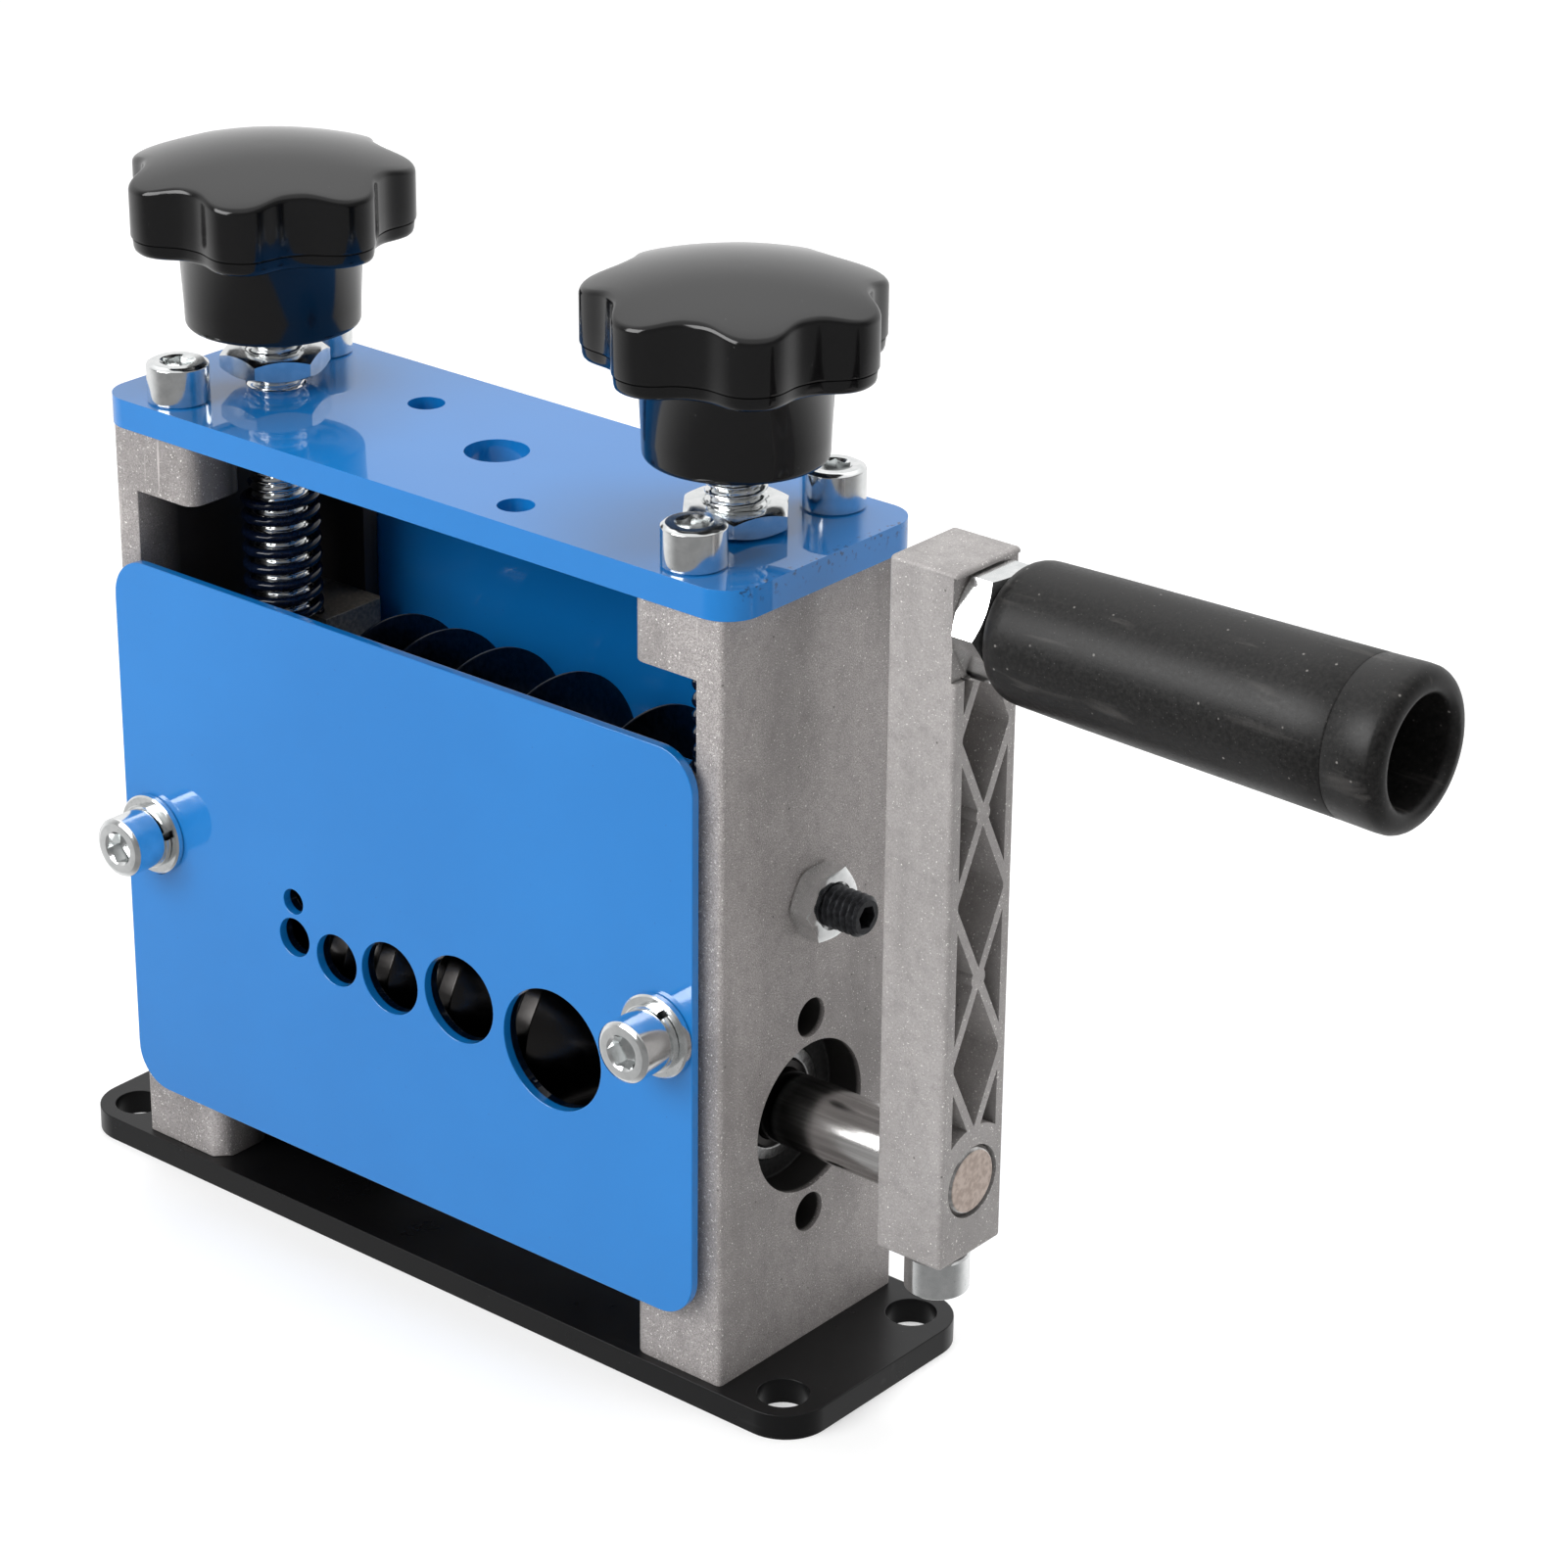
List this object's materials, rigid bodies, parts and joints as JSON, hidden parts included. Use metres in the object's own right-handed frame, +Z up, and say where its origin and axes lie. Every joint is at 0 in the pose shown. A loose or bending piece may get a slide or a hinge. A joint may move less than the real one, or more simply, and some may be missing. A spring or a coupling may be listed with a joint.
{
  "type": "wire stripper",
  "caption": "Hand-cranked bench wire stripper: grooved feed roller under a stack of round blades, guide plate with graded holes, screw-adjusted blade height.",
  "frame": {"origin": "centre of the four base bolt holes, on the underside of the base", "axes": "+X towards the crank, along the roller; +Z up; -Y towards the user who feeds the cable"},
  "size_m": [0.2571, 0.0696, 0.1847],
  "materials": {
    "base_paint": "satin black paint",
    "cast_metal": "as cast, fine speckle",
    "blue_plate": "satin blue anodised look",
    "zinc": "bright zinc plate",
    "black_steel": "black oxide",
    "roller_steel": "turned steel",
    "blade_steel": "ground tool steel",
    "bearing_steel": "ground rings, black rubber seals",
    "block_steel": "milled steel",
    "bronze": "sintered bronze",
    "spring_steel": "dark blued spring wire",
    "knob_plastic": "moulded, glossy",
    "grip_plastic": "moulded, fine grain"
  },
  "bodies": {
    "frame": {"base_plate": "base_paint", "base_screws": "zinc", "left_side_frame": "cast_metal", "right_side_frame": "cast_metal", "top_plate": "blue_plate", "top_plate_screws": "zinc", "front_plate_screws": "zinc", "front_spring_washers": "zinc", "front_flat_washers": "zinc", "back_plate": "blue_plate", "back_plate_screws": "zinc", "back_spring_washers": "zinc", "back_flat_washers": "zinc", "left_bearing_outer_ring": "bearing_steel", "right_bearing_outer_ring": "bearing_steel", "side_lock_screws": "black_steel", "side_lock_nuts": "zinc"},
    "guide": {"front_guide_plate": "blue_plate"},
    "drive": {"feed_roller": "roller_steel", "left_bearing_inner_ring": "bearing_steel", "right_bearing_inner_ring": "bearing_steel", "crank_arm": "cast_metal", "crank_clamp_screw": "zinc", "handle_bolt": "zinc", "handle_nut": "zinc"},
    "handle": {"grip": "grip_plastic"},
    "carriage": {"left_bearing_block": "block_steel", "right_bearing_block": "block_steel", "block_bushes": "bronze", "left_spring": "spring_steel", "right_spring": "spring_steel"},
    "blades": {"blade_shaft": "roller_steel", "cutting_blade_1": "blade_steel", "cutting_blade_2": "blade_steel", "cutting_blade_3": "blade_steel", "cutting_blade_4": "blade_steel", "cutting_blade_5": "blade_steel", "blade_spacers": "roller_steel", "blade_nut": "zinc"},
    "left_adjuster": {"left_adjusting_screw": "zinc", "left_jam_nut": "zinc", "left_knob": "knob_plastic"},
    "right_adjuster": {"right_adjusting_screw": "zinc", "right_jam_nut": "zinc", "right_knob": "knob_plastic"}
  },
  "joints": [
    {"name": "guide_lift", "type": "slide", "parent": "frame", "child": "guide", "axis": [0, 0, 1], "range_m": [0, 0.0045]},
    {"name": "crank_turn", "type": "hinge", "parent": "frame", "child": "drive", "pos_m": [0, 0, 0.045], "axis": [1, 0, 0], "continuous": true},
    {"name": "grip_turn", "type": "hinge", "parent": "drive", "child": "handle", "pos_m": [0.12, 0, 0.1398], "axis": [1, 0, 0], "continuous": true},
    {"name": "blade_height", "type": "slide", "parent": "frame", "child": "carriage", "axis": [0, 0, 1], "range_m": [-0.0002, 0.012]},
    {"name": "blade_turn", "type": "hinge", "parent": "carriage", "child": "blades", "pos_m": [0, 0, 0.0861], "axis": [1, 0, 0], "continuous": true},
    {"name": "left_knob_turn", "type": "hinge", "parent": "carriage", "child": "left_adjuster", "pos_m": [-0.0501, 0, 0.15], "axis": [0, 0, 1], "range_deg": [-50, 2882]},
    {"name": "right_knob_turn", "type": "hinge", "parent": "carriage", "child": "right_adjuster", "pos_m": [0.0501, 0, 0.15], "axis": [0, 0, 1], "range_deg": [-50, 2882]}
  ],
  "couplings": [
    {"joint": "left_knob_turn", "follows": "blade_height", "rad_per_m": 4188.8},
    {"joint": "right_knob_turn", "follows": "blade_height", "rad_per_m": 4188.8}
  ]
}
